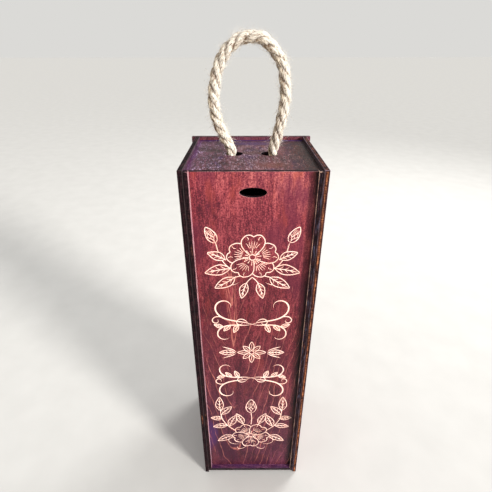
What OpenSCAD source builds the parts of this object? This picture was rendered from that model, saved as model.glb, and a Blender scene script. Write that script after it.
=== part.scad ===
// Upright plywood wine box with a lid that slides up out of grooves
// and a rope handle knotted under the top board.
// X runs left to right, Y front to back, Z up.  The origin is the centre of
// the footprint, on the surface that the box stands on.

/* [Case] */
// Width across the outer faces of the two side boards
case_width = 112; // [100:1:160]
// Height of the side boards
case_height = 383; // [340:1:460]
// Depth of the side boards, from the front edge to the back board
side_depth = 116; // [100:1:160]

/* [Boards] */
// Thickness of the side, back, top and bottom boards
board_thickness = 4; // [3:0.5:6]
// Thickness of the inner liners and of the front lips
liner_thickness = 4; // [3:0.5:6]
// Height of the feet that the side boards form below the bottom board
foot_height = 3.5; // [2:0.5:8]
// Drop from the side boards' top edges to the face of the top board
top_recess = 3.5; // [2:0.5:8]
// Width of the back board that stands out past each side board
back_overhang = 4; // [2:0.5:8]

/* [Tab joints] */
// Length of every tab along its edge
tab_length = 20; // [12:1:26]
// Number of tabs up the back edge of a side board
side_tab_count = 4; // [2:1:6]
// Number of tabs on each jointed edge of the top and bottom boards
end_tab_count = 2; // [1:1:2]

/* [Sliding lid] */
// Thickness of the lid
lid_thickness = 4; // [3:0.5:6]
// Depth of the front lips, which hold the lid back from the front edges
lip_depth = 4.5; // [3:0.5:8]
// Drop from the side boards' top edges to the tops of the lips
lip_drop = 1; // [0:0.5:3]
// Height of the lid's top edge above the top board
lid_stand = 1.3; // [0:0.1:2]
// Play in front of the lid and again behind it
groove_play = 0.25; // [0.1:0.05:0.6]
// Play between the lid's edge and the side board
edge_play = 0.5; // [0.2:0.1:1.5]

/* [Finger hole] */
// Width of the oval finger hole
finger_width = 21.2; // [16:0.2:40]
// Height of the oval finger hole
finger_height = 7.7; // [6:0.1:16]
// Distance from the lid's top edge to the middle of the finger hole
finger_drop = 16.5; // [12:0.5:40]

/* [Rope handle] */
// Diameter of the twisted rope
rope_diameter = 8.6; // [6:0.1:9.4]
// Diameter of the two rope holes in the top board
rope_hole_diameter = 15; // [14.5:0.5:17]
// Distance between the centres of the rope holes
rope_hole_spacing = 31; // [30:0.5:33]
// Diameter of the stopper knots under the top board
knot_diameter = 26; // [22:1:28]
// Height of a stopper knot
knot_height = 19; // [16:1:26]
// Length of the rope's end that hangs below a knot
tail_length = 15; // [6:1:30]

/* [Hidden] */
$fn = 48;

// Levels, from the table up
floor_bottom = foot_height;
floor_top = floor_bottom + board_thickness;
roof_top = case_height - top_recess;
roof_bottom = roof_top - board_thickness;
lip_top = case_height - lip_drop;
lid_top = roof_top + lid_stand;

// Planes, from the front to the back
front_y = -(side_depth + board_thickness) / 2;
groove_front_y = front_y + lip_depth;
groove_back_y = groove_front_y + lid_thickness + 2 * groove_play;
back_board_y = front_y + side_depth;
rear_y = back_board_y + board_thickness;

// Distances out from the middle plane
side_outer_x = case_width / 2;
side_inner_x = side_outer_x - board_thickness;
back_half_width = side_outer_x + back_overhang;
lid_half_width = side_inner_x - edge_play;

// The rope passes through the middle of the top board's open depth
handle_y = (groove_back_y + back_board_y) / 2;
rope_radius = rope_diameter / 2;
// The handle's legs stand against the outer sides of their holes
leg_inset = 0.2;
leg_x = rope_hole_spacing / 2 + rope_hole_diameter / 2 - rope_radius - leg_inset;
// The bend where a leg leaves the board, and its gaps to the board and the neck
bend_clearance = 0.4;
neck_gap = 0.3;
bend_z = roof_top + rope_radius + bend_clearance;
neck_top = bend_z - rope_radius - neck_gap;

// Rope between its two bends: [across, height above the top board]
arch_route = [
    [-22, 11], [-27, 21], [-31, 33], [-32, 47], [-30, 59], [-27, 69],
    [-22, 78], [-16, 84], [-9, 88], [-1, 89], [7, 88], [14, 83],
    [20, 76], [24, 69], [26, 59], [27, 47], [26, 36], [24, 26], [21, 13]
];
rope_sides = 10;
// Angles round the rope's end domes, from the pole towards the rim
dome_angles = [30, 60];

stain_red = [0.60, 0.27, 0.28];
stain_dark = [0.42, 0.22, 0.26];
burnt_edge = [0.24, 0.15, 0.16];
rope_cream = [0.80, 0.74, 0.64];

// Middles of a number of equal shares of the stretch between two points
function share_middles(low, high, count) =
    [for (i = [0 : count - 1]) low + (high - low) * (i + 0.5) / count];

side_tab_middles = share_middles(0, case_height, side_tab_count);
floor_tab_middles = share_middles(front_y, back_board_y, end_tab_count);
roof_tab_middles = share_middles(groove_back_y, back_board_y, end_tab_count);
back_tab_middles = share_middles(-side_inner_x, side_inner_x, end_tab_count);

// ---- Placing flat outlines as boards ----

// An outline drawn as [y, z] becomes a board with its left face at x
module board_across_x(x, thickness) {
    translate([x, 0, 0])
        rotate([90, 0, 90])
            linear_extrude(thickness) children();
}

// An outline drawn as [x, z] becomes a board with its front face at y
module board_across_y(y, thickness) {
    translate([0, y + thickness, 0])
        rotate([90, 0, 0])
            linear_extrude(thickness) children();
}

// An outline drawn as [x, y] becomes a board with its lower face at z
module board_across_z(z, thickness) {
    translate([0, 0, z])
        linear_extrude(thickness) children();
}

module rectangle(low, high) {
    translate(low) square(high - low);
}

// Tabs or slots whose middles lie along the first axis
module tabs_along_first(middles, low, high) {
    for (middle = middles)
        rectangle([middle - tab_length / 2, low], [middle + tab_length / 2, high]);
}

// Tabs or slots whose middles lie along the second axis
module tabs_along_second(middles, low, high) {
    for (middle = middles)
        rectangle([low, middle - tab_length / 2], [high, middle + tab_length / 2]);
}

// ---- Case ----

module side_outline() {
    difference() {
        union() {
            rectangle([front_y, 0], [back_board_y, case_height]);
            tabs_along_second(side_tab_middles, back_board_y - board_thickness, rear_y);
        }
        tabs_along_first(floor_tab_middles, floor_bottom, floor_top);
        tabs_along_first(roof_tab_middles, roof_bottom, roof_top);
    }
}

module side_board(left_face_x) {
    color(stain_dark)
        board_across_x(left_face_x, board_thickness) side_outline();
}

module liner(left_face_x) {
    color(stain_red)
        board_across_x(left_face_x, liner_thickness)
            rectangle([groove_back_y, floor_top], [back_board_y, roof_bottom]);
}

module front_lip(left_face_x) {
    color(burnt_edge)
        board_across_x(left_face_x, liner_thickness)
            rectangle([front_y, floor_top], [groove_front_y, lip_top]);
}

module back_board() {
    color(stain_dark)
        board_across_y(back_board_y, board_thickness)
            difference() {
                rectangle([-back_half_width, 0], [back_half_width, case_height]);
                tabs_along_second(side_tab_middles, -side_outer_x, -side_inner_x);
                tabs_along_second(side_tab_middles, side_inner_x, side_outer_x);
                tabs_along_first(back_tab_middles, floor_bottom, floor_top);
                tabs_along_first(back_tab_middles, roof_bottom, roof_top);
            }
}

// Top or bottom board, from the plane given to the back board
module cross_board_outline(board_front_y, side_middles) {
    rectangle([-side_inner_x, board_front_y], [side_inner_x, back_board_y]);
    tabs_along_second(side_middles, -side_outer_x, side_outer_x);
    tabs_along_first(back_tab_middles, back_board_y - board_thickness, rear_y);
}

module top_board() {
    color(stain_dark)
        difference() {
            board_across_z(roof_bottom, board_thickness)
                cross_board_outline(groove_back_y, roof_tab_middles);
            for (side = [-1, 1])
                translate([side * rope_hole_spacing / 2, handle_y, roof_bottom - 1])
                    cylinder(h = board_thickness + 2, d = rope_hole_diameter);
        }
}

module bottom_board() {
    color(stain_dark)
        board_across_z(floor_bottom, board_thickness)
            cross_board_outline(front_y, floor_tab_middles);
}

// ---- Lid ----

// Oval drawn round the origin
module oval(width, height, sides = 40) {
    polygon([for (i = [0 : sides - 1])
        [width / 2 * cos(360 * i / sides), height / 2 * sin(360 * i / sides)]]);
}

module sliding_lid() {
    color(stain_red)
        board_across_y(groove_front_y + groove_play, lid_thickness)
            difference() {
                rectangle([-lid_half_width, floor_top], [lid_half_width, lid_top]);
                translate([0, lid_top - finger_drop]) oval(finger_width, finger_height);
            }
}

// ---- Rope handle ----

function unit(v) = v / norm(v);

// The rope's centreline from bend to bend, in the handle's upright plane
handle_route = concat(
    [[-leg_x, handle_y, bend_z]],
    [for (p = arch_route) [p.x, handle_y, roof_top + p.y]],
    [[leg_x, handle_y, bend_z]]
);

function route_direction(route, i) =
    unit(route[min(i + 1, len(route) - 1)] - route[max(i - 1, 0)]);

// A ring of points round a centre, square to a direction in the XZ plane
function ring(centre, direction, radius) =
    let (across = cross(direction, [0, 1, 0]))
    [for (k = [0 : rope_sides - 1])
        let (angle = 360 * k / rope_sides)
        centre + radius * (cos(angle) * across + sin(angle) * [0, 1, 0])];

// Rings of the dome that closes an end, pole first where side is -1, rim first where it is 1
function dome(centre, direction, side) =
    [for (j = [0 : len(dome_angles) - 1])
        let (angle = dome_angles[side < 0 ? j : len(dome_angles) - 1 - j])
        ring(centre + side * rope_radius * cos(angle) * direction,
             direction, rope_radius * sin(angle))];

// Triangles of the side wall between ring i and ring i + 1
function wall_faces(ring_count) =
    [for (i = [0 : ring_count - 2], k = [0 : rope_sides - 1], half = [0, 1])
        let (next = (k + 1) % rope_sides, low = 1 + i * rope_sides, high = low + rope_sides)
        half == 0 ? [low + k, low + next, high + k] : [high + k, low + next, high + next]];

// Triangles that close the tube at its first and last pole
function pole_faces(ring_count) =
    let (last_ring = 1 + (ring_count - 1) * rope_sides, last_pole = 1 + ring_count * rope_sides)
    [for (k = [0 : rope_sides - 1], side = [0, 1])
        let (next = (k + 1) % rope_sides)
        side == 0 ? [0, 1 + next, 1 + k] : [last_pole, last_ring + k, last_ring + next]];

// A round tube along a route, with a dome at each end
module tube_along(route) {
    last = len(route) - 1;
    start_direction = route_direction(route, 0);
    end_direction = route_direction(route, last);
    rings = concat(
        dome(route[0], start_direction, -1),
        [for (i = [0 : last]) ring(route[i], route_direction(route, i), rope_radius)],
        dome(route[last], end_direction, 1)
    );
    polyhedron(
        points = concat(
            [route[0] - rope_radius * start_direction],
            [for (r = rings, p = r) p],
            [route[last] + rope_radius * end_direction]
        ),
        faces = concat(pole_faces(len(rings)), wall_faces(len(rings)))
    );
}

module rope_handle() {
    color(rope_cream) tube_along(handle_route);
}

// Neck up through the hole, two fat turns round a core, and the hanging end
module rope_knot(side) {
    core_radius = knot_diameter / 2 - rope_radius;
    turn_levels = share_middles(-knot_height, 0, 2);
    color(rope_cream)
        translate([side * leg_x, handle_y, roof_bottom])
            union() {
                translate([0, 0, -knot_height - tail_length])
                    cylinder(h = neck_top - roof_bottom + knot_height + tail_length,
                             r = rope_radius);
                translate([0, 0, -knot_height])
                    cylinder(h = knot_height, r = core_radius);
                for (level = turn_levels)
                    translate([0, 0, level])
                        rotate_extrude()
                            translate([core_radius, 0]) circle(r = rope_radius);
            }
}

side_board(-side_outer_x);  // left_side_board
side_board(side_inner_x);  // right_side_board
liner(-side_inner_x);  // left_liner
liner(side_inner_x - liner_thickness);  // right_liner
front_lip(-side_inner_x);  // left_front_lip
front_lip(side_inner_x - liner_thickness);  // right_front_lip
back_board();
top_board();
bottom_board();
sliding_lid();
rope_handle();
rope_knot(-1);  // left_rope_knot
rope_knot(1);  // right_rope_knot
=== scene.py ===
"""Looks of a stained plywood wine box with a sliding lid and a rope handle.

The box, its joints and every size come from the CAD frame.  This script gives
the boards softened edges, burnt laser cuts and stained grain, engraves the
lid's face, and lays the rope from three strands.  Lengths are in metres, X
runs to the right, Y to the back and Z up.
"""
import math
import random

import bmesh
import bpy
import numpy as np
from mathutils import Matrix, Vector, noise
from mathutils.geometry import delaunay_2d_cdt


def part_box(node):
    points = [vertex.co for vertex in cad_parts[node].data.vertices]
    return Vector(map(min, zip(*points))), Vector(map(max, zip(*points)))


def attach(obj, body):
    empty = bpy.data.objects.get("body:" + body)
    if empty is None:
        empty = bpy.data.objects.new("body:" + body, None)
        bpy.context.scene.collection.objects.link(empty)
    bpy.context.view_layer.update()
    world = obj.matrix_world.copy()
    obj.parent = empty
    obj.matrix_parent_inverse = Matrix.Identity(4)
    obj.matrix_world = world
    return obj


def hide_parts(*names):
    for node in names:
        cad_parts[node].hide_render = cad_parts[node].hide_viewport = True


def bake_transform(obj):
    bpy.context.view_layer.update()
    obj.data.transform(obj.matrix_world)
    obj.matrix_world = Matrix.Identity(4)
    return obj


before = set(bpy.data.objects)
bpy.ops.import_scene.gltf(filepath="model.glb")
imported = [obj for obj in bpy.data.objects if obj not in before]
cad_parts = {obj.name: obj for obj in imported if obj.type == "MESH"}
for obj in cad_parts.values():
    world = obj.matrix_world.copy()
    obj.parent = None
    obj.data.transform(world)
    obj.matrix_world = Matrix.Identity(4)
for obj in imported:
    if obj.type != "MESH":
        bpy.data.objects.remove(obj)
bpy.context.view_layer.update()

MM = 0.001
X, Y, Z = 0, 1, 2

# ---- Sizes, from the frame and from part.scad ----

LID_LOW, LID_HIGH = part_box("sliding_lid")
ROOF_LOW, ROOF_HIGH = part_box("top_board")
LEG_X = 18.5 * MM
HANDLE_Y = 2.5 * MM
BEND_Z = 384.2 * MM
ROPE_DIAMETER = 8.6 * MM

# The rope's loop from bend to bend: across, and height above the top board
ARCH_ROUTE = [
    (-22, 11), (-27, 21), (-31, 33), (-32, 47), (-30, 59), (-27, 69),
    (-22, 78), (-16, 84), (-9, 88), (-1, 89), (7, 88), (14, 83),
    (20, 76), (24, 69), (26, 59), (27, 47), (26, 36), (24, 26), (21, 13),
]

# Camera of the photograph
CAMERA_PLACE = (-5.99 * MM, -312.0 * MM, 459.3 * MM)
CAMERA_TILT_DOWN = math.radians(28.83)
CAMERA_TURN = math.radians(-0.134)
CAMERA_ROLL = math.radians(0.056)
CAMERA_LENS = 26.0

random.seed(7)


def add_object(name, mesh):
    made = bpy.data.objects.new(name, mesh)
    bpy.context.scene.collection.objects.link(made)
    return made


# ---- Camera ----

def add_camera():
    data = bpy.data.cameras.new("camera")
    data.sensor_fit = "HORIZONTAL"
    data.sensor_width = 36.0
    data.lens = CAMERA_LENS
    data.clip_start = 0.01
    camera = bpy.data.objects.new("camera", data)
    camera.location = CAMERA_PLACE
    camera.rotation_euler = (math.pi / 2 - CAMERA_TILT_DOWN, CAMERA_ROLL, CAMERA_TURN)
    bpy.context.scene.collection.objects.link(camera)
    bpy.context.scene.camera = camera


# ---- Shader nodes ----

def rgba(tint):
    """The linear RGBA of a tint with 0 to 255 for each channel; all else is passed on."""
    if isinstance(tint, Value) or len(tint) == 4:
        return tint
    shares = [channel / 255 for channel in tint]
    return (*(c / 12.92 if c <= 0.04045 else ((c + 0.055) / 1.055) ** 2.4 for c in shares), 1.0)


class Value:
    """An output of a shader's node; +, -, * and / with it add a node that works the result out."""

    def __init__(self, shader, socket):
        self.shader = shader
        self.socket = socket

    def __add__(self, other):
        return self.shader.math("ADD", self, other)

    def __sub__(self, other):
        return self.shader.math("SUBTRACT", self, other)

    def __mul__(self, other):
        return self.shader.math("MULTIPLY", self, other)

    def __truediv__(self, other):
        return self.shader.math("DIVIDE", self, other)

    def step(self, low, high, start=0.0, end=1.0):
        """start at low, end at high, level beyond them, and a smooth change between them."""
        inputs = {"Value": self, "From Min": low, "From Max": high, "To Min": start, "To Max": end}
        return self.shader.value("ShaderNodeMapRange", inputs, interpolation_type="SMOOTHSTEP")

    def ramp(self, stops):
        """A colour ramp; stops is [(position, tint), ...]."""
        made = self.shader.node("ShaderNodeValToRGB", {0: self})
        points = made.color_ramp.elements
        while len(points) < len(stops):
            points.new(0.5)
        for point, (position, tint) in zip(points, stops):
            point.position = position
            point.color = rgba(tint)
        return Value(self.shader, made.outputs[0])


class Shader:
    """A material or world whose nodes are made by short calls that return values."""

    def __init__(self, name, owner=None):
        self.owner = owner or bpy.data.materials.new(name)
        self.owner.use_nodes = True
        self.tree = self.owner.node_tree
        self.tree.nodes.clear()

    def node(self, kind, inputs, **settings):
        """A node with its inputs, given by name or index, set to numbers or linked to values."""
        made = self.tree.nodes.new(kind)
        for key, setting in settings.items():
            setattr(made, key, setting)
        for key, value in inputs.items():
            if isinstance(value, Value):
                self.tree.links.new(value.socket, made.inputs[key])
            elif value is not None:
                made.inputs[key].default_value = value
        return made

    def value(self, kind, inputs, output=0, **settings):
        return Value(self, self.node(kind, inputs, **settings).outputs[output])

    def math(self, operation, a, b=None):
        return self.value("ShaderNodeMath", {0: a, 1: b}, operation=operation)

    def mix(self, factor, a, b, blend="MIX"):
        inputs = {0: factor, 6: rgba(a), 7: rgba(b)}
        return self.value("ShaderNodeMix", inputs, 2, data_type="RGBA", blend_type=blend)

    def split(self, vector):
        return [Value(self, part) for part in self.node("ShaderNodeSeparateXYZ", {0: vector}).outputs]

    def noise(self, place, scale=1.0, detail=3.0, roughness=0.5):
        """Noise from 0 to 1 at place, which is three values."""
        vector = self.value("ShaderNodeCombineXYZ", dict(enumerate(place)))
        inputs = {"Vector": vector, "Scale": scale, "Detail": detail, "Roughness": roughness}
        return self.value("ShaderNodeTexNoise", inputs)

    def place_mm(self):
        """The object coordinates in millimetres, as three values."""
        source = self.value("ShaderNodeTexCoord", {}, "Object")
        scale = (1 / MM, 1 / MM, 1 / MM)
        return self.split(self.value("ShaderNodeVectorMath", {0: source, 1: scale},
                                     operation="MULTIPLY"))

    def attribute(self, name, output="Fac"):
        return self.value("ShaderNodeAttribute", {}, output, attribute_name=name)

    def bump(self, height, strength, distance):
        inputs = {"Height": height, "Strength": strength, "Distance": distance}
        return self.value("ShaderNodeBump", inputs)

    def finish(self, base, roughness, normal=None, specular=0.4, sheen=0.0):
        inputs = {"Base Color": base, "Roughness": roughness, "Normal": normal,
                  "Specular IOR Level": specular, "Sheen Weight": sheen}
        self.node("ShaderNodeOutputMaterial", {0: self.value("ShaderNodeBsdfPrincipled", inputs)})
        return self.owner


# ---- Plywood materials ----

STAIN_PARTS = ("dark", "middle", "light", "warm", "cool", "line")


def tones(*tints):
    """Tones of a stain, or of painted light and shade on one: dark, middle and light fibres, warm and
    cool blotches, pale lines.
    """
    return dict(zip(STAIN_PARTS, tints, strict=True))


LID_STAIN = tones((84, 22, 40), (136, 50, 62), (190, 96, 98),
                  (176, 76, 62), (108, 34, 58), (180, 106, 94))
CASE_STAIN = tones((50, 18, 28), (94, 38, 50), (138, 72, 80),
                   (112, 52, 50), (78, 30, 54), (140, 80, 76))
ROOF_STAIN = tones((28, 12, 16), (70, 36, 42), (118, 80, 86),
                   (100, 50, 38), (58, 28, 68), (112, 72, 72))
# Painted light: a paler, lit copy of the stain for the left lip, whose inner face turns to the light
LIP_PAINTED_LIGHT = tones((168, 100, 104), (206, 142, 140), (224, 176, 168),
                      (214, 150, 134), (184, 118, 128), (222, 176, 162))
LEDGE_STAIN = tones((44, 16, 40), (82, 34, 68), (132, 78, 110),
                    (96, 42, 58), (66, 28, 76), (140, 90, 110))
# Painted light: the violet of the left board's inner face above the roof, which turns to the light
RIM_PAINTED_LIGHT = tones((24, 8, 20), (52, 20, 42), (104, 60, 88),
                     (72, 28, 38), (42, 18, 54), (110, 70, 90))
# Painted shade: a near-black copy of the stain for the right lip and the right board's inner face above
# the roof, which lie in shade
PAINTED_SHADE_BLACK = tones((16, 8, 12), (36, 16, 22), (70, 36, 44),
                    (52, 26, 28), (30, 16, 34), (80, 48, 52))
# Pale specks of dust; where they gather in patches on the roof they are painted sheen
DUST_AND_SHEEN = (186, 164, 176)
BURNT_ARRIS = (30, 16, 20)
# Tints that multiply the stain, by height on the board in millimetres.  On the lid they are partly
# stain and partly painted light: darker towards the foot and, tilted by the wash's turn, brighter at
# the top right.  On the left lip they shape its painted light, mostly darker towards the foot.
LID_WASH_AND_LIGHT = [(0, (0.23, 0.24, 0.40)), (60, (0.25, 0.25, 0.44)), (150, (0.33, 0.29, 0.38)),
            (240, (0.42, 0.28, 0.34)), (320, (0.60, 0.48, 0.54)), (358, (0.76, 0.66, 0.68)),
            (385, (0.86, 0.96, 0.88)), (410, (1.20, 1.60, 1.32))]
LIP_PAINTED_LIGHT_WASH = [(0, (0.40, 0.54, 0.76)), (70, (0.60, 0.78, 0.98)), (220, (0.49, 0.58, 0.70)),
            (330, (0.80, 0.90, 1.0))]
# The same from left to right across the roof; its dark right end is a painted shadow of the right
# side board.
ROOF_WASH_AND_SHADOW = [(-52, (0.92, 0.84, 1.14)), (-10, (0.98, 0.92, 0.96)), (22, (0.94, 0.82, 0.79)),
             (31, (0.72, 0.54, 0.50)), (40, (0.38, 0.22, 0.16)), (52, (0.14, 0.08, 0.05))]

# Pools, where the stain lies thicker or where shade is painted: place across and along the grain,
# half width, half height, tint and share.  On the lid one lies at the lower left, and the nearly
# black one is a painted shadow beside the right lip.
LID_POOLS_AND_SHADOW = [(-50, 68, 14, 34, (62, 32, 84), 0.6), (53, 190, 8.4, 900, (6, 2, 3), 1.0)]
# On the roof they darken the back, tint the rims violet and brown the wood round the rope's holes;
# the brown beside the left hole is partly a painted shadow of the rope.
ROOF_POOLS_AND_SHADE = [(0, 46, 900, 17, (44, 24, 34), 0.4), (-38, 22, 20, 13, (48, 26, 30), 0.45),
              (0, 57, 900, 7, (58, 34, 96), 0.8), (-55, 0, 8, 900, (86, 40, 88), 0.55),
              (-36, 12, 13, 7, (50, 26, 22), 0.6), (0, 4, 14, 6, (72, 40, 30), 0.5),
              (14, -34, 16, 12, (92, 46, 34), 0.5), (2, 40, 30, 9, (58, 34, 84), 0.5)]

# Growth rings of the veneer, in millimetres: their spacing, how they lean and how round they are
RING_SPACING = 6.5
RING_LEAN = 0.17
RING_CORE = 15.0
# The lid's tongue, a narrow upward figure: its foot across and along, steepness, spacing and count
LID_TONGUE = (-17.5, 204, 1.9, 26, 4)


def washed(shader, base, wash, level):
    """base with the tints of wash, [(place, tint), ...], multiplied in by level."""
    low, high = wash[0][0], wash[-1][0]
    stops = [((place - low) / (high - low), (*tint, 1.0)) for place, tint in wash]
    tint = ((level - low) / (high - low)).ramp(stops)
    return shader.mix(1.0, base, tint, "MULTIPLY")


def pooled_and_shaded(shader, base, pools_and_shade, u, v, ragged):
    """base with each pool's tint over it, which fades at a ragged oval edge."""
    for pool_u, pool_v, half_width, half_height, tint, share in pools_and_shade:
        aside = (u - pool_u) / half_width
        above = (v - pool_v) / half_height
        reach = aside * aside + above * above + ragged * 1.4
        base = shader.mix(reach.step(1.7, 0.9, 0.0, share), base, tint)
    return base


def tongue_lines(shader, across, along, tongue):
    """The pale nested lines of a tongue, which fade at its top."""
    _, foot, steepness, spacing, count = tongue
    level = (along - foot - across * across * steepness) / spacing
    lines = shader.math("FRACT", level).step(0.45, 0.22) * level.step(0.0, 0.1)
    lines = lines * level.step(count, count - 0.1)
    height = spacing * count
    return lines * along.step(foot + height * 1.2, foot + height * 0.6)


def veneer_face(name, across, along, seed, tones, figure_x=0.0, figure=1.0, figure_top=900.0,
                speckle=0.0, patches=1.0, wash=None, wash_turn=(0.0, 1.0), pools_and_shade=(), tongue=None,
                specular=0.28):
    """Rotary-cut veneer under a wiped stain: nested growth arches, fibres, pores and blotches.

    across and along are the axes of the face, and the grain runs along.  figure is the strength of
    the growth rings, which centre on figure_x and end at figure_top.  wash_turn is the wash's
    direction.  On some faces the wash and the pools are painted light and shade.
    """
    shader = Shader(name)
    place = shader.place_mm()
    u, v = place[across], place[along]
    w = place[3 - across - along] + seed

    def grain_noise(scale_u, scale_v, detail=3.0, roughness=0.55, shift=0.0):
        return shader.noise((u * scale_u, v * scale_v, w + shift), 1.0, detail, roughness)

    # Growth rings met at a slant: distance from an axis that leans away as it rises
    sway = (grain_noise(0.02, 0.008) - 0.5) * 26.0
    from_axis = u + sway - figure_x
    radius = shader.math("SQRT", from_axis * from_axis + RING_CORE**2)
    uneven = grain_noise(0.05, 0.016, 2.0, 0.45, shift=3.0) * 9.0
    ring = shader.math("FRACT", (radius - v * RING_LEAN + uneven) / RING_SPACING)
    ring_line = ring.step(0.89, 0.95) * ring.step(1.0, 0.97)
    ring_mask = grain_noise(0.035, 0.012, shift=9.0).step(0.38, 0.52)
    ring_mask = ring_mask * v.step(figure_top, figure_top - 120.0)
    ring_line = ring_line * ring_mask

    streaks = grain_noise(0.30, 0.006, 4.0, 0.6)
    fibres = grain_noise(1.05, 0.15, 4.0, 0.72, shift=5.0)
    grit = grain_noise(1.0, 0.80, 4.0, 0.78, shift=7.0)
    mottle = grain_noise(0.07, 0.03, 4.0, 0.62, shift=12.0)
    banding = (ring - 0.5) * (0.03 * figure) * ring_mask
    tone = streaks * 0.14 + fibres * 0.28 + grit * 0.4 + mottle * 0.18 + banding
    base = tone.ramp([(0.44, tones["dark"]), (0.50, tones["middle"]), (0.56, tones["light"])])

    warm = grain_noise(0.10 * patches, 0.03 * patches, 4.0, 0.65, shift=20.0)
    base = shader.mix(warm.step(0.52, 0.70, 0.0, 0.45), base, tones["warm"])
    cool = grain_noise(0.035 * patches, 0.014 * patches, 3.0, 0.6, shift=31.0)
    base = shader.mix(cool.step(0.50, 0.64, 0.0, 0.7), base, tones["cool"])
    pores = grain_noise(3.2, 0.14, 1.0, 0.4, shift=40.0).step(0.64, 0.74)
    base = shader.mix(pores * 0.35, base, tones["dark"])
    if speckle:
        # Pale specks of dust, and in the patches painted sheen
        specks = grain_noise(0.9, 0.28, 3.0, 0.8, shift=52.0).step(0.52, 0.64)
        dust_and_sheen_patches = grain_noise(0.09, 0.06, 3.0, 0.6, shift=55.0).step(0.40, 0.60, 0.35, 1.0)
        base = shader.mix(specks * (dust_and_sheen_patches * speckle), base, DUST_AND_SHEEN)
    if wash:
        drift = (mottle - 0.5) * (0.16 * (wash[-1][0] - wash[0][0]))
        base = washed(shader, base, wash, u * wash_turn[0] + v * wash_turn[1] + drift)
    base = pooled_and_shaded(shader, base, pools_and_shade, u, v, mottle)

    # Pale early-wood lines and short strokes that took less of the stain
    strokes = grain_noise(1.1, 0.10, 2.0, 0.5, shift=60.0).step(0.64, 0.74)
    stroke_patches = grain_noise(0.05, 0.02, 2.0, 0.5, shift=66.0).step(0.46, 0.60)
    strokes = strokes * (stroke_patches * 0.42)
    if tongue:
        nested = tongue_lines(shader, from_axis - (tongue[0] - figure_x), v, tongue)
        ring_line = shader.math("MAXIMUM", ring_line, nested)
    broken = grain_noise(0.4, 0.12, 3.0, 0.6, shift=70.0).step(0.38, 0.56, 0.35, 1.0)
    lines = ring_line * (broken * (0.72 * figure))
    base = shader.mix(shader.math("MAXIMUM", strokes, lines), base, tones["line"])

    rough = fibres.step(0.3, 0.7, 0.42, 0.62)
    return shader.finish(base, rough, shader.bump(fibres - pores * 0.6, 0.35, 0.12 * MM), specular)


def burnt_cut(name, thickness_axis, run_axis, low_mm, thickness_mm, seed, bare=0.3, grey=0.3,
              bare_end_mm=900.0):
    """A laser-cut edge: charred, with glue lines, ash, and a centre ply that shows in places.

    bare and grey say how much wood and ash show, and above bare_end_mm hardly any wood does.
    """
    shader = Shader(name)
    place = shader.place_mm()
    depth = (place[thickness_axis] - low_mm) / thickness_mm
    run, other = place[run_axis], place[3 - thickness_axis - run_axis]

    def edge_noise(scale_run, scale_depth, detail=2.0, shift=0.0):
        spot = (run * scale_run, depth * scale_depth, other * 0.2 + (seed + shift))
        return shader.noise(spot, 1.0, detail, 0.6)

    # From here on the plies wander across the thickness
    depth = depth + (edge_noise(0.15, 0.5) - 0.5) * 0.12
    from_middle = shader.math("ABSOLUTE", depth - 0.5)
    centre_ply = from_middle.step(0.22, 0.12)
    glue = from_middle.step(0.14, 0.19) * from_middle.step(0.26, 0.21)
    threshold = 0.72 - bare * 0.38
    bare_patch = edge_noise(0.035, 0.6, 4.0, shift=4.0).step(threshold, threshold + 0.16)
    bare_patch = bare_patch * run.step(bare_end_mm, bare_end_mm - 0.5, 0.12, 1.0)

    streaks = edge_noise(1.9, 0.5, 3.0, shift=8.0)
    stripes = edge_noise(0.10, 7.0, 3.0, shift=11.0)
    tone = streaks * 0.4 + stripes * 0.6
    char = tone.ramp([(0.40, (7, 5, 8)), (0.50, (22, 12, 16)), (0.62, (64, 38, 42))])
    wood = tone.ramp([(0.44, (40, 22, 20)), (0.50, (118, 66, 44)), (0.57, (176, 112, 74))])
    red_wood = tone.ramp([(0.44, (14, 8, 10)), (0.58, (104, 60, 52))])
    ash = edge_noise(0.09, 2.6, 3.0, shift=15.0).step(0.54, 0.68, 0.0, 0.75 * grey)
    base = shader.mix(ash, char, (74, 72, 92))
    outer_mask = edge_noise(0.03, 1.2, 3.0, shift=21.0).step(threshold, threshold + 0.16)
    base = shader.mix(outer_mask * 0.7, base, red_wood)
    base = shader.mix(centre_ply * bare_patch * 0.95, base, wood)
    base = shader.mix(glue * 0.85, base, (14, 9, 11))
    normal = shader.bump(streaks + glue * -0.5, 0.5, 0.15 * MM)
    return shader.finish(base, 0.72, normal, specular=0.05)


def worn_arris(name, seed, worn, fresh, worn_within_x=None):
    """The softened corner between a face and a cut, where the stain has rubbed off in places.

    With worn_within_x, in millimetres, only the corners nearer than that to the middle are rubbed.
    """
    shader = Shader(name)
    x, y, z = shader.place_mm()
    place = (x, y, z + seed)
    patches = shader.noise(place, 0.07, 4.0, 0.6).step(0.38, 0.58)
    unrubbed = fresh
    if worn_within_x is not None:
        near = shader.math("ABSOLUTE", x).step(worn_within_x + 0.2, worn_within_x - 0.2)
        patches = patches * near
        unrubbed = shader.mix(near, BURNT_ARRIS, fresh)
    grit = shader.noise(place, 1.6, 3.0, 0.7)
    base = shader.mix(patches, unrubbed, grit.ramp([(0.35, fresh), (0.65, worn)]))
    return shader.finish(base, 0.6, shader.bump(grit, 0.4, 0.1 * MM))


# ---- Boards ----

ARRIS_WIDTH = 0.35 * MM
# CAD edges that bend less than the first join one flat face; those above the second are softened
FLAT_BELOW = math.radians(1)
SHARP_ABOVE = math.radians(40)
# A face looks along an axis when that part of its normal is above this
FACING = 0.9
FACE, CUT, ARRIS, INNER = 0, 1, 2, 3


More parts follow.
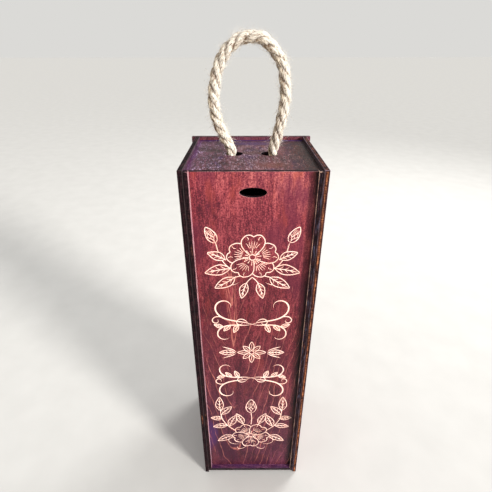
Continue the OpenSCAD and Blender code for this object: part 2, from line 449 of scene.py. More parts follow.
def smooth_board(node, thickness_axis, inward=0):
    """The CAD board as a bmesh with softened edges, and its faces sorted into face, cut and arris.

    inward is the sign of the normal, along the thickness, of the face that gets INNER instead.
    """
    board = bmesh.new()
    board.from_mesh(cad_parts[node].data)
    bmesh.ops.remove_doubles(board, verts=board.verts, dist=0.001 * MM)
    bmesh.ops.dissolve_limit(board, angle_limit=FLAT_BELOW, verts=board.verts,
                             edges=board.edges, use_dissolve_boundaries=False)
    for f in board.faces:
        f.material_index = FACE if abs(f.normal[thickness_axis]) > FACING else CUT
        if inward and f.normal[thickness_axis] * inward > FACING:
            f.material_index = INNER
    sharp = [e for e in board.edges if len(e.link_faces) == 2 and e.calc_face_angle() > SHARP_ABOVE]
    bmesh.ops.bevel(board, geom=sharp, offset=ARRIS_WIDTH, offset_type="OFFSET", segments=2,
                    profile=0.5, affect="EDGES", clamp_overlap=True, material=ARRIS)
    # A copy has none of the bevel's gaps, so new faces come in the same order on each run
    compact = board.copy()
    board.free()
    return compact


def finish_board(board, name, node, body, slot, materials):
    """Makes the bmesh an object with its materials, which takes the CAD node's place."""
    mesh = bpy.data.meshes.new(name)
    board.to_mesh(mesh)
    board.free()
    for material in materials:
        mesh.materials.append(material)
    piece = add_object(name, mesh)
    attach(piece, body)
    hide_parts(node)
    return piece


# The boards of the case, each with what it doesn't share with the defaults of add_board()
BOARDS = {
    # The faces of the side boards above the roof get painted light on the left and painted shade on the
    # right
    "left_side_board": dict(bare=0.25, grey=0.0, worn=(56, 30, 30), fresh=(18, 8, 10),
                            rim_side=1, rim_painted_tones=RIM_PAINTED_LIGHT),
    "right_side_board": dict(bare=1.0, grey=0.2, worn=(150, 118, 134), fresh=(46, 28, 36),
                             rim_side=-1, rim_painted_tones=PAINTED_SHADE_BLACK),
    "left_liner": dict(slot="inner_plywood"),
    "right_liner": dict(slot="inner_plywood"),
    # The left lip's face and arrises are lit copies, painted light; the right lip's face is painted shade
    "left_front_lip": dict(slot="lip_plywood", tones=LIP_PAINTED_LIGHT, wash=LIP_PAINTED_LIGHT_WASH, grey=0.05,
                           worn=(196, 142, 148), fresh=(104, 62, 70), worn_within_x=50.0),
    "right_front_lip": dict(slot="lip_plywood", tones=PAINTED_SHADE_BLACK, bare=0.2, grey=1.0,
                            worn=(244, 204, 176), fresh=(104, 68, 64), worn_within_x=50.0),
    "back_board": dict(thickness=Y, bare=0.6, grey=0.2),
    "top_board": dict(thickness=Z, grain=Y, tones=ROOF_STAIN, bare=0.0, grey=0.6, speckle=0.9,
                      patches=2.2, pools_and_shade=ROOF_POOLS_AND_SHADE, specular=0.12, wash=ROOF_WASH_AND_SHADOW,
                      wash_turn=(1.0, 0.0)),
    "bottom_board": dict(thickness=Z, grain=X, tones=LEDGE_STAIN, bare=0.0, grey=0.2,
                         worn=(96, 64, 84), fresh=(30, 18, 28)),
}


def add_board(node, seed, thickness=X, grain=Z, slot="case_plywood", tones=CASE_STAIN, bare=0.3,
              grey=0.3, worn=(150, 116, 126), fresh=(58, 36, 42), worn_within_x=None, rim_side=0,
              rim_painted_tones=None, speckle=0.15, **look):
    """One board of the case; look is what else veneer_face() is told about its faces.

    thickness and grain are axes, and worn and fresh are the tints of the arrises.  rim_side is
    the way that the face above the roof looks, where that face has tones of its own: painted light
    on the left board and painted shade on the right.
    """
    board = smooth_board(node, thickness, rim_side)
    low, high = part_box(node)
    face = veneer_face(node + "_face", 3 - thickness - grain, grain, seed * 37.0, tones,
                       figure_x=seed * 9.0 - 30.0, figure=0.6, speckle=speckle, **look)
    run_axis = X if thickness == Z else grain
    cut = burnt_cut(node + "_cut", thickness, run_axis, low[thickness] / MM,
                    (high - low)[thickness] / MM, seed * 17.0, bare, grey,
                    bare_end_mm=high[run_axis] / MM - 0.2)
    arris = worn_arris(node + "_arris", seed * 5.0, worn, fresh, worn_within_x)
    materials = [face, cut, arris]
    if rim_side:
        materials.append(veneer_face(node + "_rim", Z, Y, seed * 41.0, rim_painted_tones, figure=0.0,
                                     speckle=0.3))
    finish_board(board, node + "_dressed", node, "case", slot, materials)


def add_boards():
    for seed, (node, board) in enumerate(BOARDS.items()):
        add_board(node, seed, **board)


# ---- Curves ----

def unit(vector):
    return vector / np.linalg.norm(vector)


def distances(points):
    """How far along the line each point lies."""
    return np.concatenate([[0], np.cumsum(np.linalg.norm(np.diff(points, axis=0), axis=1))])


def smooth_curve(points, step):
    """Points evenly spaced by about step along a Catmull-Rom curve through the given points."""
    p = np.array([np.array(q, float) for q in points])
    padded = np.vstack([2 * p[0] - p[1], p, 2 * p[-1] - p[-2]])
    dense = []
    for i in range(len(p) - 1):
        a, b, c, d = padded[i : i + 4]
        t = np.linspace(0, 1, 24, endpoint=False)[:, None]
        dense.append(0.5 * (2 * b + (c - a) * t + (2 * a - 5 * b + 4 * c - d) * t**2
                            + (3 * b - a - 3 * c + d) * t**3))
    dense.append(p[-1:])
    dense = np.vstack(dense)
    travelled = distances(dense)
    count = max(2, int(round(travelled[-1] / step)) + 1)
    even = np.linspace(0, travelled[-1], count)
    return np.stack([np.interp(even, travelled, dense[:, k]) for k in range(p.shape[1])], axis=1)


# ---- Ornament ----

OUTLINE_WIDTH = 0.88
VEIN_WIDTH = 0.52
FINE_WIDTH = VEIN_WIDTH * 1.2
STAMEN_WIDTH = 0.6
SCROLL_WIDTH = 1.0
STEM_WIDTH = 1.5
BRANCH_WIDTH = 1.3
# How far apart the points of a curved line lie
POINT_STEP = 0.8


def inside(points, starts, ends):
    """For each point, whether it lies within the closed loops of edges (even-odd rule)."""
    x, y = points[:, :1], points[:, 1:]
    rise = np.where(ends[:, 1] == starts[:, 1], 1e-9, ends[:, 1] - starts[:, 1])
    reach = (ends[:, 0] - starts[:, 0]) * (y - starts[:, 1]) / rise + starts[:, 0]
    crosses = ((starts[:, 1] > y) != (ends[:, 1] > y)) & (x < reach)
    return crosses.sum(axis=1) % 2 == 1


class Drawing:
    """Lines engraved in the lid's face, in millimetres across and up.

    What is drawn first lies in front: later lines stop where a shape drawn earlier covers them.
    """

    def __init__(self):
        self.strokes = []
        self.covers = []
        self.mirror = 1

    def line(self, points, width, start=0.25, end=0.25, smooth=True):
        """A line that swells from start to its full width and tapers to end, as shares of width."""
        p = smooth_curve(points, POINT_STEP) if smooth else np.array(points, float)
        p = p * np.array([self.mirror, 1])
        t = np.linspace(0, 1, len(p))
        swell = np.minimum(1.0, np.minimum(start + 3.0 * t, end + 3.0 * (1 - t)))
        hidden = np.zeros(len(p), bool)
        for cover in self.covers:
            hidden |= inside(p, cover, np.roll(cover, -1, axis=0))
        run = []
        for i in range(len(p) + 1):
            if i < len(p) and not hidden[i]:
                run.append(i)
                continue
            if len(run) > 2:
                self.strokes.append((p[run], width * swell[run]))
            run = []

    def shape(self, outline, width):
        """A closed outline, which hides what is drawn after it."""
        p = smooth_curve(outline, POINT_STEP)
        self.line(p, width, 0.6, 0.6, smooth=False)
        self.covers.append(p * np.array([self.mirror, 1]))

    def both_halves(self):
        """Yields twice: what is drawn the second time is mirrored to the left."""
        for side in (1, -1):
            self.mirror = side
            yield
        self.mirror = 1


def circle(centre, radius, angles):
    """Points round centre at the angles."""
    return [(centre[0] + radius * math.cos(a), centre[1] + radius * math.sin(a)) for a in angles]


def closed(centre, radius, count):
    return circle(centre, radius, np.linspace(0, 2 * math.pi, count))


def placed(points, origin, heading, length, width=None, bend=0.0):
    """Points of a unit shape, across and along, set at origin, turned to heading and bent aside."""
    p = np.array(points, float)
    across = p[:, 0] * (length if width is None else width) + bend * length * p[:, 1] ** 2
    along = p[:, 1] * length
    c, s = math.cos(heading), math.sin(heading)
    return np.stack([origin[0] + across * s + along * c, origin[1] - across * c + along * s], axis=1)


def both_sides(half):
    """A closed symmetric outline from the points of its right half, from base to tip."""
    return half + [(-x, y) for x, y in reversed(half[:-1])]


LEAF = both_sides([(0, 0), (0.30, 0.16), (0.50, 0.40), (0.38, 0.70), (0.13, 0.92), (0, 1.0)])
PETAL = both_sides([(0, 0.0), (0.22, 0.18), (0.46, 0.48), (0.50, 0.76), (0.34, 0.97), (0.14, 1.0),
                    (0, 0.93)])
BUD = both_sides([(0, 0), (0.34, 0.14), (0.50, 0.42), (0.34, 0.76), (0.10, 0.96), (0, 1.0)])


def vein(drawing, points, shape, start=0.9):
    drawing.line(placed(points, *shape), VEIN_WIDTH, start, 0.2)


def leaf(drawing, base, heading, length, width, bend=0.0):
    """A pointed leaf with a midrib and three veins on each side of it."""
    shape = (base, math.radians(heading), length, width, bend)
    drawing.shape(placed(LEAF, *shape), OUTLINE_WIDTH)
    covers, drawing.covers = drawing.covers, drawing.covers[:-1]
    midrib = [(0, -0.06), (0, 0.3), (0, 0.6), (0, 0.93)]
    drawing.line(placed(midrib, *shape), OUTLINE_WIDTH, 0.9, 0.3)
    for k in range(3):
        y = 0.18 + 0.22 * k
        reach = 0.36 * math.sin(math.pi * min(1.0, y + 0.22)) ** 0.6
        for side in (-1, 1):
            tip = (reach * side, y + 0.17)
            vein(drawing, [(0.02 * side, y), (0.5 * reach * side, y + 0.10), tip], shape)
    drawing.covers = covers


def rose(drawing, centre, radius, turn):
    """An open wild rose: a seed disc, a ring of stamens and five notched petals."""
    drawing.shape(closed(centre, 0.13 * radius, 13), OUTLINE_WIDTH)
    stamens = 17
    for k in range(stamens):
        a = math.radians(turn + 360 * k / stamens + 7 * math.sin(5 * k))
        inner = circle(centre, 0.17 * radius, [a])[0]
        outer = circle(centre, radius * (0.33 + 0.05 * math.cos(3.0 * k)), [a])[0]
        middle = ((inner[0] + outer[0]) / 2, (inner[1] + outer[1]) / 2)
        drawing.line([inner, middle, outer], STAMEN_WIDTH, 0.8, 0.8)
        drawing.line(closed(outer, 0.35, 7), 0.8, 1, 1)
    for k in (0, 2, 4, 1, 3):
        shape = (centre, math.radians(turn + 72 * k), radius, radius * 0.92, 0.05 * (-1) ** k)
        for across in (-0.30, -0.17, -0.06, 0.06, 0.17, 0.30):
            far = 0.80 - 0.5 * abs(across)
            vein(drawing, [(across * 0.45, 0.42), (across * 0.8, 0.56), (across * 1.08, far)], shape)
        for side in (-1, 1):
            vein(drawing, [(0.30 * side, 0.93), (0.22 * side, 0.84), (0.24 * side, 0.74)], shape)
        drawing.shape(placed(PETAL, *shape), OUTLINE_WIDTH)


def bud(drawing, base, heading, length):
    """A rose bud wrapped in its outer petal, held by three sepals."""
    turn = math.radians(heading)
    for lean, reach in ((-0.75, 0.46), (0.75, 0.46), (0.0, 0.40)):
        sepal = placed(LEAF, base, turn + lean * 0.75, length * reach * 1.15,
                       length * 0.17, 0.12 * lean)
        drawing.shape(sepal, FINE_WIDTH)
    shape = (base, turn, length, length * 0.52)
    for wrap in ([(-0.34, 0.26), (-0.05, 0.44), (0.20, 0.70), (0.20, 0.92)],
                 [(0.38, 0.40), (0.26, 0.58), (0.22, 0.70)]):
        drawing.line(placed(wrap, *shape), FINE_WIDTH, 0.8, 0.4)
    for across in (-0.22, -0.08, 0.08):
        path = [(across, 0.50 + across * 0.3), (across, 0.68), (across * 0.8 + 0.02, 0.84)]
        vein(drawing, path, shape, 0.8)
    drawing.shape(placed(BUD, *shape), OUTLINE_WIDTH)


def stalk(drawing, points):
    drawing.line(points, OUTLINE_WIDTH, 0.9, 0.7)


def scroll(drawing, start, heading, length, bend_start, bend_end, width):
    """A flourish whose bend, in degrees for each millimetre, changes evenly; returns its points."""
    steps = int(length / POINT_STEP)
    turn = math.radians(heading)
    points = [start]
    for k in range(steps):
        bend = bend_start + (bend_end - bend_start) * k / steps
        turn += math.radians(bend) * length / steps
        x, y = points[-1]
        points.append((x + math.cos(turn) * length / steps, y + math.sin(turn) * length / steps))
    drawing.line(points, width, 0.2, 0.2, smooth=False)
    return points


def crest(drawing, z):
    """A rose facing forward between two leafy branches that rise to buds."""
    rose(drawing, (0, z + 5), 21, 90)
    for _ in drawing.both_halves():
        bud(drawing, (30.5, z + 19), 62, 16)
        leaf(drawing, (19, z - 6), -6, 22, 10, 0.10)
        leaf(drawing, (15, z - 15), -38, 21, 9.5, -0.10)
        leaf(drawing, (23, z + 3), 30, 16, 8, 0.1)
        leaf(drawing, (5, z - 21), -68, 17, 7.5, 0.12)
        stalk(drawing, [(11, z - 8), (20, z - 5), (27, z + 5), (30.5, z + 19)])
        stalk(drawing, [(2, z - 13), (8, z - 13), (15, z - 15)])
        stalk(drawing, [(0, z - 15), (3, z - 18), (5, z - 21)])
        scroll(drawing, (11, z - 20), -34, 27, 0.5, 22, FINE_WIDTH)


def garland(drawing, z):
    """A rose at the foot of two leafy branches that rise round a bud."""
    rose(drawing, (0, z - 20), 20.5, -90)
    bud(drawing, (0, z + 20), 90, 22)
    drawing.line([(0, z), (0.8, z + 10), (0, z + 20)], OUTLINE_WIDTH, 0.9, 0.8)
    for _ in drawing.both_halves():
        leaf(drawing, (34, z + 24), 84, 22, 8.5, -0.1)
        leaf(drawing, (32, z + 10), 14, 13, 6.5, 0.1)
        leaf(drawing, (33.5, z + 17), 124, 18, 8, -0.12)
        leaf(drawing, (24, z - 3), 104, 20, 8.5, -0.12)
        leaf(drawing, (27, z - 2), 0, 16, 7.5, 0.12)
        leaf(drawing, (21, z - 20), -24, 20, 9, 0.12)
        leaf(drawing, (9, z + 1), 74, 19, 7.5, 0.12)
        stalk(drawing, [(14, z - 14), (25, z - 4), (32, z + 9), (34, z + 24)])
        stalk(drawing, [(3, z - 4), (6, z - 2), (9, z + 1)])
        scroll(drawing, (12, z - 36), -12, 34, 1, 19, FINE_WIDTH)
        scroll(drawing, (5, z - 40), -50, 18, -2, 24, FINE_WIDTH)


def flourish(drawing, z, up):
    """One tier of mirrored scrolls, opening upwards or downwards, with leaves on the lower stem."""
    for _ in drawing.both_halves():
        stem = scroll(drawing, (0, z), 28 * up, 66, -2.6 * up, 10.5 * up, STEM_WIDTH)
        scroll(drawing, stem[31], 30 * up, 27, 0.5 * up, -27 * up, SCROLL_WIDTH)
        scroll(drawing, stem[5], 62 * up, 24, -3 * up, -27 * up, SCROLL_WIDTH)
        branch = scroll(drawing, (0, z), -20 * up, 54, 3.4 * up, -11.5 * up, BRANCH_WIDTH)
        leaf(drawing, branch[16], -58 * up, 10, 4.6, 0.12 * up)
        leaf(drawing, branch[25], -40 * up, 9.5, 4.4, 0.12 * up)
        leaf(drawing, branch[34], 12 * up, 9, 4.2, -0.12 * up)


def rosette(drawing, z, radius):
    """A small flower of eight pointed petals, with a leaf and two short scrolls on each side."""
    drawing.shape(closed((0, z), 0.16 * radius, 11), OUTLINE_WIDTH)
    for k in range(8):
        heading = math.radians(45 * k)
        length = radius * (1.0 if k % 2 == 0 else 0.80)
        base = circle((0, z), 0.2 * radius, [heading])[0]
        outline = placed(LEAF, base, heading, length * 0.8, radius * 0.34)
        drawing.line(placed([(0, 0.1), (0, 0.5), (0, 0.8)], base, heading, length * 0.8), VEIN_WIDTH)
        drawing.shape(outline, OUTLINE_WIDTH * 0.9)
    for _ in drawing.both_halves():
        leaf(drawing, (radius * 1.2, z), 0, 15, 6.5)
        for up in (1, -1):
            scroll(drawing, (radius * 1.1, z + 0.8 * up), 58 * up, 15, -7.0 * up, 3 * up, SCROLL_WIDTH)


def lid_ornament():
    """The whole ornament, from the lid's top to its foot."""
    drawing = Drawing()
    crest(drawing, 302)
    flourish(drawing, 234, 1)
    rosette(drawing, 198, 14)
    flourish(drawing, 162, -1)
    garland(drawing, 86)
    return drawing


# ---- Lid ----

ENGRAVING_DEPTH = 0.25 * MM
ENGRAVED = 3
SLIVER_AREA = 0.001


def ribbon(points, widths):
    """Corners and counter-clockwise triangles of a flat ribbon along a line, in millimetres."""
    along = np.gradient(points, axis=0)
    along /= np.maximum(np.linalg.norm(along, axis=1, keepdims=True), 1e-9)
    sideways = np.stack([-along[:, 1], along[:, 0]], axis=1) * widths[:, None] / 2
    corners = np.stack([points - sideways, points + sideways], axis=1).reshape(-1, 2)
    triangles = []
    for i in range(0, len(corners) - 2, 2):
        for a, b, c in ((i, i + 2, i + 3), (i, i + 3, i + 1)):
            (ux, uy), (vx, vy) = corners[b] - corners[a], corners[c] - corners[a]
            area = (ux * vy - uy * vx) / 2
            if abs(area) > SLIVER_AREA:
                triangles.append((a, b, c) if area > 0 else (a, c, b))
    return corners, triangles


def engrave_front(board, drawing):
    """Replaces the lid's front face by one with the drawing's lines cut into it."""
    front_y = LID_LOW.y
    front = [f for f in board.faces if f.normal.y < -0.99 and f.material_index == FACE]
    bmesh.ops.delete(board, geom=front, context="FACES")
    board.edges.index_update()
    board.verts.index_update()
    rim_edges = [e for e in board.edges if e.is_boundary]
    rim = sorted({v for e in rim_edges for v in e.verts}, key=lambda v: v.index)
    number = {v: i for i, v in enumerate(rim)}
    corners = [(v.co.x / MM, v.co.z / MM) for v in rim]
    edges = [(number[e.verts[0]], number[e.verts[1]]) for e in rim_edges]
    ribbons = []
    for points, widths in drawing.strokes:
        ribbon_corners, ribbon_triangles = ribbon(points, widths)
        ribbons += [tuple(len(corners) + k for k in t) for t in ribbon_triangles]
        corners += [tuple(c) for c in ribbon_corners]
    flat, _, triangles, sources, _, covering = delaunay_2d_cdt(
        [Vector(c) for c in corners], edges, ribbons, 0, 1e-5)

    ends = np.array([[corners[a], corners[b]] for a, b in edges])
    middles = np.array([sum((flat[k] for k in t), Vector((0, 0))) / 3 for t in triangles])
    on_lid = inside(middles, ends[:, 0], ends[:, 1])
    made = {}

    def corner(index, cut):
        if (index, cut) not in made:
            on_rim = [rim[k] for k in sources[index] if k < len(rim)]
            x, z = flat[index]
            place = (x * MM, front_y + (ENGRAVING_DEPTH if cut else 0), z * MM)
            made[index, cut] = on_rim[0] if on_rim and not cut else board.verts.new(place)
        return made[index, cut]

    cut_side, plain_side = set(), set()
    for t, kept, covers in zip(triangles, on_lid, covering):
        if not kept:
            continue
        cut = bool(covers)
        face = board.faces.new([corner(k, cut) for k in t])
        face.material_index = ENGRAVED if cut else FACE
        (cut_side if cut else plain_side).update((t[k], t[(k + 1) % 3]) for k in range(3))
    for a, b in sorted(plain_side):
        if (b, a) in cut_side:
            wall = board.faces.new([corner(b, False), corner(a, False), corner(a, True), corner(b, True)])
            wall.material_index = ENGRAVED


def engraving_material():
    """Pale wood laid bare by the laser, warmer and darker where it burnt."""
    shader = Shader("engraved_line")
    x, y, z = shader.place_mm()
    grain = shader.noise((x * 1.6, y, z * 0.25), 1.0, 3.0, 0.6)
    broad = shader.noise((x, y, z), 0.05, 2.0, 0.5)
    base = grain.ramp([(0.30, (226, 186, 170)), (0.52, (248, 216, 204)), (0.75, (252, 228, 218))])
    base = shader.mix(broad.step(0.45, 0.7, 0.0, 0.3), base, (232, 184, 156))
    return shader.finish(base, 0.8, shader.bump(grain, 0.3, 0.1 * MM), specular=0.2)


def add_lid():
    board = smooth_board("sliding_lid", Y)
    engrave_front(board, lid_ornament())
    face = veneer_face("lid_face", X, Z, 3.0, LID_STAIN, figure_x=-17.0,
                       figure_top=300.0, wash=LID_WASH_AND_LIGHT, wash_turn=(0.55, 1.0), pools_and_shade=LID_POOLS_AND_SHADOW,
                       tongue=LID_TONGUE)
    cut = burnt_cut("lid_cut", Y, X, LID_LOW.y / MM, (LID_HIGH - LID_LOW).y / MM, 71.0, bare=0.2)
    arris = worn_arris("lid_arris", 9.0, (190, 130, 128), (84, 40, 50))
    finish_board(board, "sliding_lid_dressed", "sliding_lid", "lid", "lid_plywood",
                 [face, cut, arris, engraving_material()])


# ---- Rope ----

ROPE_RADIUS = ROPE_DIAMETER / 2
STRANDS = 3
STRAND_RADIUS = 2.4 * MM
LAY_RADIUS = ROPE_RADIUS - STRAND_RADIUS
LAY_PITCH = 30 * MM
YARNS = 6
YARN_RELIEF = 0.06
YARN_PITCH = 30 * MM
TUFT_LENGTH = 3.6 * MM
TUFT_RELIEF = 0.20
# The strands lie looser and tighter by this share, in waves that turn one radian in this length
SLACK = 0.03
SLACK_LENGTH = 23 * MM
STRAND_SIDES = 24
RING_STEP = 0.75 * MM
# Beyond the holes that squeeze it, the loop swells by this share
LOOP_SWELL = 0.09
SWELL_HEIGHT = 9 * MM
NECK_START_Z = ROOF_LOW.z
HIDDEN_NECK = 2 * MM
# The side that faces the light, painted paler; the other side gets painted shade, browner
LIT_SIDE = np.array((0.80, -0.20, 0.56))


def rope_route():
    """The free rope's centreline from one knot to the other."""
    arch = [(x * MM, HANDLE_Y, ROOF_HIGH.z + height * MM) for x, height in ARCH_ROUTE]
    rise = (NECK_START_Z, ROOF_HIGH.z, BEND_Z)
    left = [(-LEG_X, HANDLE_Y, z) for z in rise]
    right = [(LEG_X, HANDLE_Y, z) for z in reversed(rise)]
    return left + arch + right


def carried_frames(points):
    """Tangents, and two normals that are carried along the curve without twisting about it."""
    tangents = np.gradient(points, axis=0)
    tangents /= np.linalg.norm(tangents, axis=1, keepdims=True)
    normal = np.array([0.0, 1.0, 0.0]) if abs(tangents[0][1]) < 0.9 else np.array([1.0, 0.0, 0.0])
    normals = []
    for t in tangents:
        normal = unit(normal - t * normal.dot(t))
        normals.append(normal)
    normals = np.array(normals)
    return tangents, normals, np.cross(tangents, normals)


def spoke(angle, a, b):
    """A direction in the plane of the unit vectors a and b."""
    return math.cos(angle) * a + math.sin(angle) * b


def tube_faces(first, rings, sides):
    """The quads between the rings of a tube whose vertices start at first."""
    quads = []
    for i in range(rings - 1):
        for side in range(sides):
            a = first + i * sides + side
            b = first + i * sides + (side + 1) % sides
            quads.append((a, b, b + sides, a + sides))
    return quads


def lay_strands(centreline, start_turn=0.0, flare=1.0, swell=1.0):
    """Vertices, faces and looks of three strands laid left-handed round a centreline.

    flare opens the strands where a rope's end frays, and swell scales the rope's thickness: each
    is one number, or one for each point.  The looks hold, for each vertex, its place on the
    strand, its height out of the grooves and how far it faces away from the lit side, for painted
    shade.
    """
    _, normals, binormals = carried_frames(centreline)
    travelled = distances(centreline)
    spread = np.ones(len(centreline)) * flare
    thickness = np.ones(len(centreline)) * swell
    vertices, faces, looks = [], [], []
    for strand in range(STRANDS):
        turn = start_turn + 2 * math.pi * (strand / STRANDS) - 2 * math.pi * travelled / LAY_PITCH
        out = np.cos(turn)[:, None] * normals + np.sin(turn)[:, None] * binormals
        slack = 1 + SLACK * np.sin(travelled / SLACK_LENGTH + strand * 2.1)
        core = centreline + out * (LAY_RADIUS * spread * slack)[:, None]
        _, n, b = carried_frames(core)
        for i in range(len(core)):
            for side in range(STRAND_SIDES):
                angle = 2 * math.pi * side / STRAND_SIDES
                twisted = angle - 2 * math.pi * travelled[i] / YARN_PITCH
                yarn = math.cos(YARNS * twisted) - 0.4
                tuft = noise.noise(Vector((1.6 * math.cos(twisted), 1.6 * math.sin(twisted),
                                           travelled[i] / TUFT_LENGTH + 9.0 * strand)))
                radius = STRAND_RADIUS * (1 + YARN_RELIEF * yarn + TUFT_RELIEF * tuft)
                from_centre = core[i] + radius * spoke(angle, n[i], b[i]) - centreline[i]
                vertices.append(centreline[i] + from_centre * thickness[i])
                distance = np.linalg.norm(from_centre)
                # How far the point faces away from the light, which sets its painted shade
                worn = 0.5 - 0.5 * from_centre.dot(LIT_SIDE) / distance
                looks.append((math.cos(twisted) * STRAND_RADIUS, math.sin(twisted) * STRAND_RADIUS,
                              travelled[i] + strand * 0.7, min(1.0, distance / ROPE_RADIUS), worn))
        first = strand * len(core) * STRAND_SIDES
        faces += tube_faces(first, len(core), STRAND_SIDES)
        last = first + (len(core) - 1) * STRAND_SIDES
        faces.append(tuple(first + k for k in reversed(range(STRAND_SIDES))))
        faces.append(tuple(last + k for k in range(STRAND_SIDES)))
    return vertices, faces, looks


def add_strands(name, material, vertices, faces, looks):
    """A piece made of what lay_strands() returns, with the looks as three attributes."""
    looks = np.array(looks, np.float32)
    mesh = bpy.data.meshes.new(name)
    mesh.from_pydata([tuple(v) for v in vertices], [], faces)
    mesh.attributes.new("fibre_place", "FLOAT_VECTOR", "POINT").data.foreach_set(
        "vector", looks[:, :3].ravel())
    for column, attribute in ((3, "groove"), (4, "shaded_side")):
        mesh.attributes.new(attribute, "FLOAT", "POINT").data.foreach_set(
            "value", np.ascontiguousarray(looks[:, column]))
    mesh.shade_smooth()
    mesh.update()
    mesh.materials.append(material)
    return add_object(name, mesh)


def rope_material():
    """Twisted natural fibre: pale hairs over brown gaps, painted shadows between the strands and painted
    shade on the side away from the light.
    """
    shader = Shader("twisted_fibre")
    x, y, along = shader.split(shader.attribute("fibre_place", "Vector"))

    def fibre_noise(scale_round, scale_along, detail, roughness=0.65):
        place = (x * scale_round, y * scale_round, along * scale_along)
        return shader.noise(place, 1.0, detail, roughness)

    depth = shader.attribute("groove")
    # How far the fibre faces away from the light, for painted shade
    worn = shader.attribute("shaded_side")
    hairs = fibre_noise(3000.0, 170.0, 4.0, 0.75)
    tufts = fibre_noise(1300.0, 170.0, 4.0, 0.7)
    flecks = fibre_noise(1200.0, 420.0, 3.0, 0.7)
    patches = fibre_noise(160.0, 60.0, 3.0)
    straw = hairs.ramp([(0.38, (156, 128, 100)), (0.45, (226, 215, 198)), (0.54, (242, 236, 225))])
    gaps = tufts.step(0.44, 0.38, 0.0, 0.7)
    base = shader.mix(gaps, straw, (132, 98, 68))
    # Dark flecks, denser on the side away from the light as painted shade
    flecks_and_shade = (flecks - worn * 0.15).step(0.40, 0.33, 0.0, 0.9)
    base = shader.mix(flecks_and_shade, base, (92, 62, 36))
    # Painted shade: the side away from the light is browner
    side_shade = (worn + patches * 0.4).step(0.58, 0.96)
    base = shader.mix(side_shade, base, (0.90, 0.81, 0.68, 1.0), "MULTIPLY")
    # Painted shade in the grooves between the strands, deeper on the side away from the light
    groove_shade = (depth + tufts * 0.5 - worn * 0.22).step(1.10, 0.86, 0.0, 0.8)
    base = shader.mix(groove_shade, base, (104, 73, 47))
    normal = shader.bump(hairs + (tufts + flecks), 1.0, 0.6 * MM)
    return shader.finish(base, 0.9, normal, specular=0.1, sheen=0.1)


def hair_material():
    """Single fibres that stand clear of the rope, straw to cream from one to the next."""
    shader = Shader("loose_fibre")
    tone = shader.noise(shader.place_mm(), 0.8, 2.0, 0.6)
    base = tone.ramp([(0.36, (112, 78, 50)), (0.42, (200, 182, 154)),
                      (0.50, (236, 229, 217)), (0.60, (248, 244, 236))])
    return shader.finish(base, 0.7, shader.bump(tone, 0.2, 0.05 * MM), specular=0.3)


def add_rope(material):
    route = rope_route()
    start = (route[0][0], route[0][1], route[0][2] - HIDDEN_NECK)
    end = (route[-1][0], route[-1][1], route[-1][2] - HIDDEN_NECK)
    centreline = smooth_curve([start] + route + [end], RING_STEP)
    clear_of_roof = (centreline[:, 2] - ROOF_HIGH.z) / SWELL_HEIGHT
    swell = 1 + LOOP_SWELL * np.clip(clear_of_roof, 0, 1)
    rope = add_strands("twisted_rope", material, *lay_strands(centreline, swell=swell))
    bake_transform(rope)
    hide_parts("rope_handle")
    return rope, centreline


# ---- Knots ----

KNOT_TURNS = 2
KNOT_RADIUS = 8.7 * MM
KNOT_STEPS = 12
# How far a whole turn goes down, and how far it rises and dips on its way
KNOT_FALL = ROPE_DIAMETER * 11 / 15
KNOT_TILT = 1.0 * MM
TAIL_END_Z = 341.5 * MM
# The tail's strands open over this length, by this share
FRAY_LENGTH = 8 * MM
FRAY = 0.5


def knot_route(side):
    """Down from the neck, out into two turns, back to the middle and down as the tail."""
    centre_x = side * LEG_X
    top = NECK_START_Z - ROPE_RADIUS
    points = [(centre_x, HANDLE_Y, NECK_START_Z + 1 * MM), (centre_x, HANDLE_Y, top + 1.5 * MM)]
    last = KNOT_TURNS * KNOT_STEPS
    for i in range(last + 1):
        turn = side * 2 * math.pi * i / KNOT_STEPS
        # The rope takes three steps to leave the middle, and three to come back to it
        radius = KNOT_RADIUS * min(1.0, (i + 1) / 3, (last - i + 1) / 3)
        height = top - KNOT_FALL * i / KNOT_STEPS + KNOT_TILT * math.sin(turn + 0.7)
        points.append((centre_x + radius * math.cos(turn), HANDLE_Y + radius * math.sin(turn), height))
    bottom = points[-1][2]
    points.append((centre_x, HANDLE_Y, bottom - 3 * MM))
    points.append((centre_x - 0.8 * MM * side, HANDLE_Y - 1 * MM, bottom - 9 * MM))
    points.append((centre_x - 1.4 * MM * side, HANDLE_Y - 1.4 * MM, TAIL_END_Z + 1 * MM))
    return points


def add_knot(side, name, node, material):
    centreline = smooth_curve(knot_route(side), RING_STEP)
    height = centreline[:, 2]
    frayed = np.clip((TAIL_END_Z + FRAY_LENGTH - height) / FRAY_LENGTH, 0, 1)
    flare = 1 + FRAY * frayed**2
    knot = add_strands(name, material, *lay_strands(centreline, 1.0, flare))
    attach(knot, "case")
    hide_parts(node)
    return knot


# ---- Stray fibres ----

HAIR_LENGTHS = (1.6 * MM, 2.4 * MM, 3.2 * MM, 4.5 * MM, 8.5 * MM)
HAIR_RADII = (0.05 * MM, 0.11 * MM)
HAIR_LENGTH_SPREAD = (0.7, 1.3)
# How a fibre points: along the rope, round it and outwards
HAIR_ALONG = (0.5, 1.2)
HAIR_AROUND = (-0.7, 0.3)
HAIR_OUTWARD = (0.15, 0.9)
# How far it bends at each of its pieces, and how much thinner it is at its tip
HAIR_CURL = 0.16
HAIR_TAPER = 0.75
HAIR_COUNT = 3400
HAIR_PIECES = 5
HAIR_SIDES = 3
# Near the roof the fibres are short, so that they stay clear of it when the loop leans
HAIRS_START_Z = ROOF_HIGH.z + 3.5 * MM
LONG_HAIRS_START_Z = BEND_Z + 4 * MM
NECK_HAIR_SHARE = 0.45


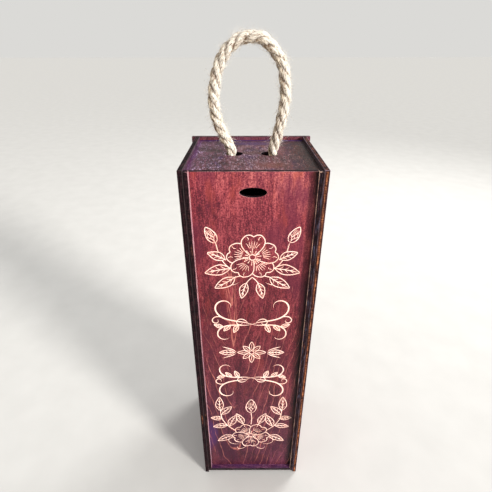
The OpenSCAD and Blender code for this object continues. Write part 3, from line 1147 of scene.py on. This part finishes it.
def add_hairs(name, line, material):
    """Fine fibres that have worked loose from the rope, as one mesh of thin three-sided tubes."""
    vertices, faces, looks = [], [], []
    tangents, normals, binormals = carried_frames(line)
    for _ in range(HAIR_COUNT):
        i = random.randrange(2, len(line) - 2)
        if line[i][2] < HAIRS_START_Z:
            continue
        angle = random.uniform(0, 2 * math.pi)
        out = spoke(angle, normals[i], binormals[i])
        around = np.cross(tangents[i], out)
        way = random.choice((-1, 1))
        direction = way * (tangents[i] * random.uniform(*HAIR_ALONG)
                           + around * random.uniform(*HAIR_AROUND))
        direction = unit(direction + out * random.uniform(*HAIR_OUTWARD))
        length = random.choice(HAIR_LENGTHS) * random.uniform(*HAIR_LENGTH_SPREAD)
        if line[i][2] < LONG_HAIRS_START_Z:
            length = min(length, HAIR_LENGTHS[2]) * NECK_HAIR_SHARE
        thick = random.uniform(*HAIR_RADII)
        point = line[i] + out * ROPE_RADIUS * 0.93
        curl = np.array([random.uniform(-1, 1) for _ in range(3)])
        first = len(vertices)
        for k in range(HAIR_PIECES + 1):
            ring_radius = thick * (1 - HAIR_TAPER * k / HAIR_PIECES)
            across = unit(np.cross(direction, curl))
            beside = np.cross(direction, across)
            for side in range(HAIR_SIDES):
                spin = 2 * math.pi * side / HAIR_SIDES
                vertices.append(point + ring_radius * spoke(spin, across, beside))
                looks.append((ring_radius, 0.0, k * MM, 1.0, 0.0))
            point = point + direction * length / HAIR_PIECES
            direction = unit(direction + HAIR_CURL * curl + 0.02 * out)
        faces += tube_faces(first, HAIR_PIECES + 1, HAIR_SIDES)
    return add_strands(name, material, vertices, faces, looks)


# ---- Studio ----

FLOOR_SIZE = 60.0


def add_floor():
    mesh = bpy.data.meshes.new("floor")
    reach = FLOOR_SIZE / 2
    corners = [(-reach, -reach, 0), (reach, -reach, 0), (reach, reach, 0), (-reach, reach, 0)]
    mesh.from_pydata(corners, [], [(0, 1, 2, 3)])
    floor = add_object("floor", mesh)
    shader = Shader("floor")
    grain = shader.noise(shader.place_mm(), 0.02, 4.0, 0.5)
    base = grain.ramp([(0.3, (194, 193, 190)), (0.7, (199, 198, 195))])
    mesh.materials.append(shader.finish(base, 1.0, specular=0.0))


def add_light(kind, name, place, target, power, tint, **settings):
    data = bpy.data.lights.new(name, kind)
    data.energy = power
    data.color = tint
    for key, value in settings.items():
        setattr(data, key, value)
    light = bpy.data.objects.new(name, data)
    light.location = place
    aim = Vector(target) - Vector(place)
    light.rotation_euler = aim.to_track_quat("-Z", "Y").to_euler()
    bpy.context.scene.collection.objects.link(light)


# The surround's tone by height: 0 at the horizon, 1 overhead
WORLD_TONES = [(0.0, (219, 218, 215)), (0.1, (219, 218, 215)), (0.4, (224, 224, 222)),
               (1.0, (236, 236, 237))]
WORLD_STRENGTH = 1.0


def add_world():
    """A pale surround that meets the floor's far edge in tone."""
    world = bpy.data.worlds.new("studio")
    shader = Shader("studio", world)
    height = shader.split(shader.value("ShaderNodeTexCoord", {}, "Generated"))[Z]
    inputs = {"Color": height.ramp(WORLD_TONES), "Strength": WORLD_STRENGTH}
    shader.node("ShaderNodeOutputWorld", {0: shader.value("ShaderNodeBackground", inputs)})
    bpy.context.scene.world = world


def add_lights():
    """A low, soft sun from the front right, like a window, and a weaker light from behind."""
    add_light("SUN", "key", (1.17, -0.94, 0.76), (0, 0, 0.28), 5.4, (1.0, 0.97, 0.93),
              angle=math.radians(14))
    add_light("AREA", "rim", (0.85, 0.8, 1.25), (0, 0, 0.40), 16.0, (1.0, 0.99, 0.97),
              shape="DISK", size=0.6)
    add_world()
    bpy.context.scene.view_settings.view_transform = "Standard"


add_camera()
fibre = rope_material()
hair = hair_material()
rope_piece, rope_line = add_rope(fibre)
left_knot = add_knot(-1, "left_stopper_knot", "left_rope_knot", fibre)
right_knot = add_knot(1, "right_stopper_knot", "right_rope_knot", fibre)
loose = add_hairs("loose_fibres", rope_line, hair)
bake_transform(loose)
add_boards()
add_lid()
add_floor()
add_lights()
